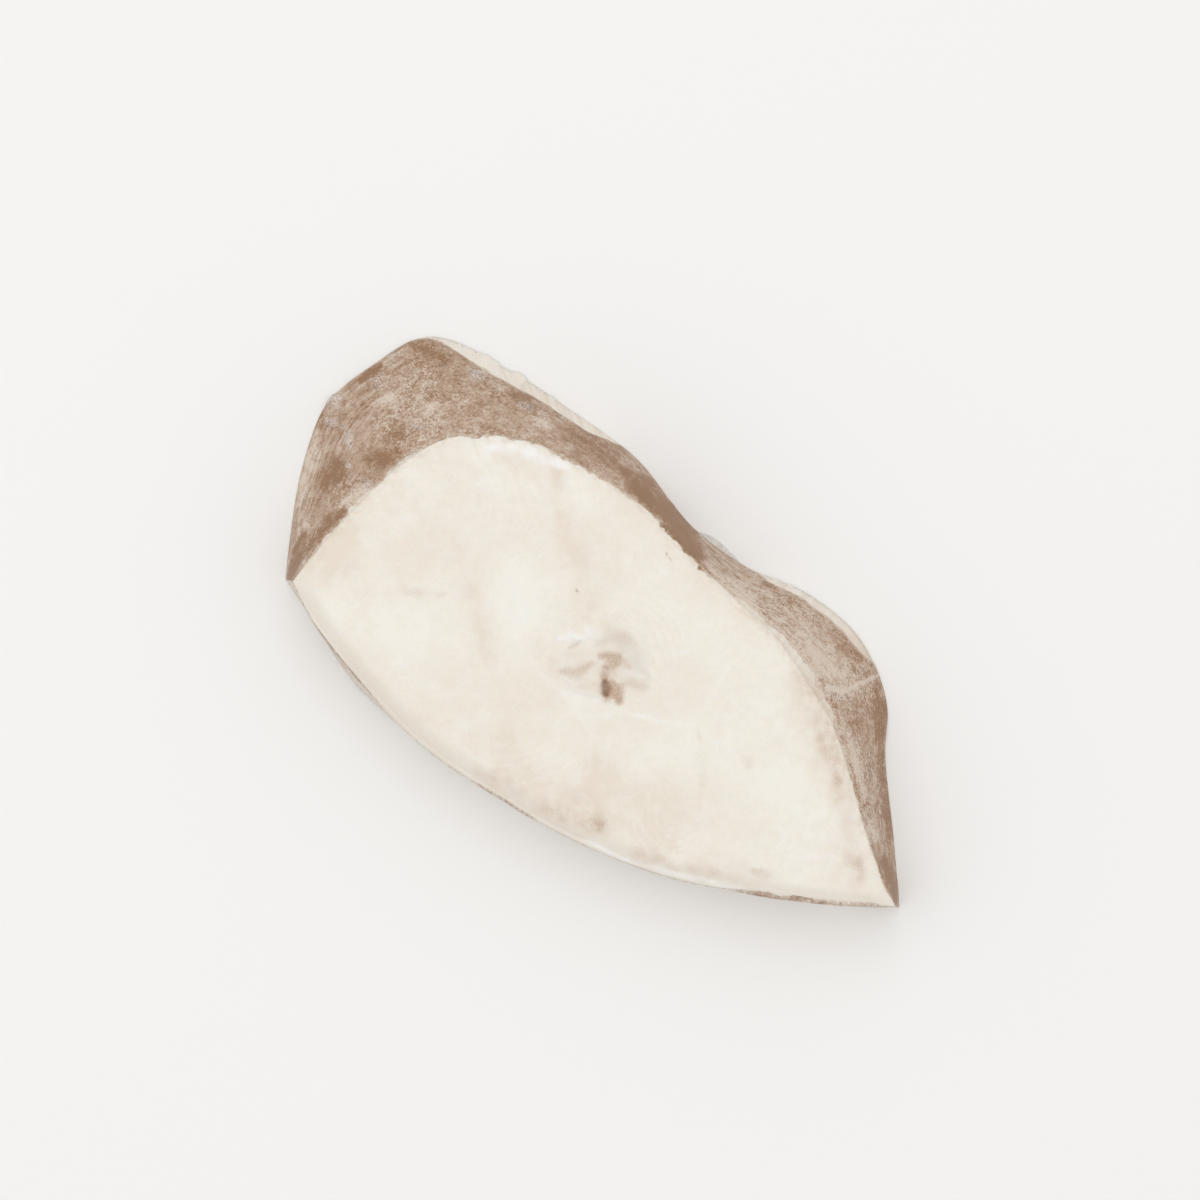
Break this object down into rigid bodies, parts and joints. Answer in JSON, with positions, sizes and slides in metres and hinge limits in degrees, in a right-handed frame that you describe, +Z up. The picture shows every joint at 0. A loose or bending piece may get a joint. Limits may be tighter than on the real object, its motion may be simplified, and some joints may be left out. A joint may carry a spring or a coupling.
{
  "type": "greenland halibut steak",
  "caption": "Raw crosswise steak of a flatfish lying on a cut face: pale cream flesh, a broad sloping band of brown skin along one side, pale skin below the other, and the backbone at the cut.",
  "frame": {"origin": "on the table, under the middle of the steak's bounding box", "axes": "+X along the steak's long axis, towards its pointed fin corner; +Y towards the sloping dark skin; +Z up, out of the upper cut"},
  "size_m": [0.2136, 0.1103, 0.028],
  "materials": {
    "flesh": "satin",
    "skin": "satin",
    "bone": "satin"
  },
  "bodies": {
    "root": {"fish_steak": "flesh", "backbone": "bone"}
  },
  "joints": []
}
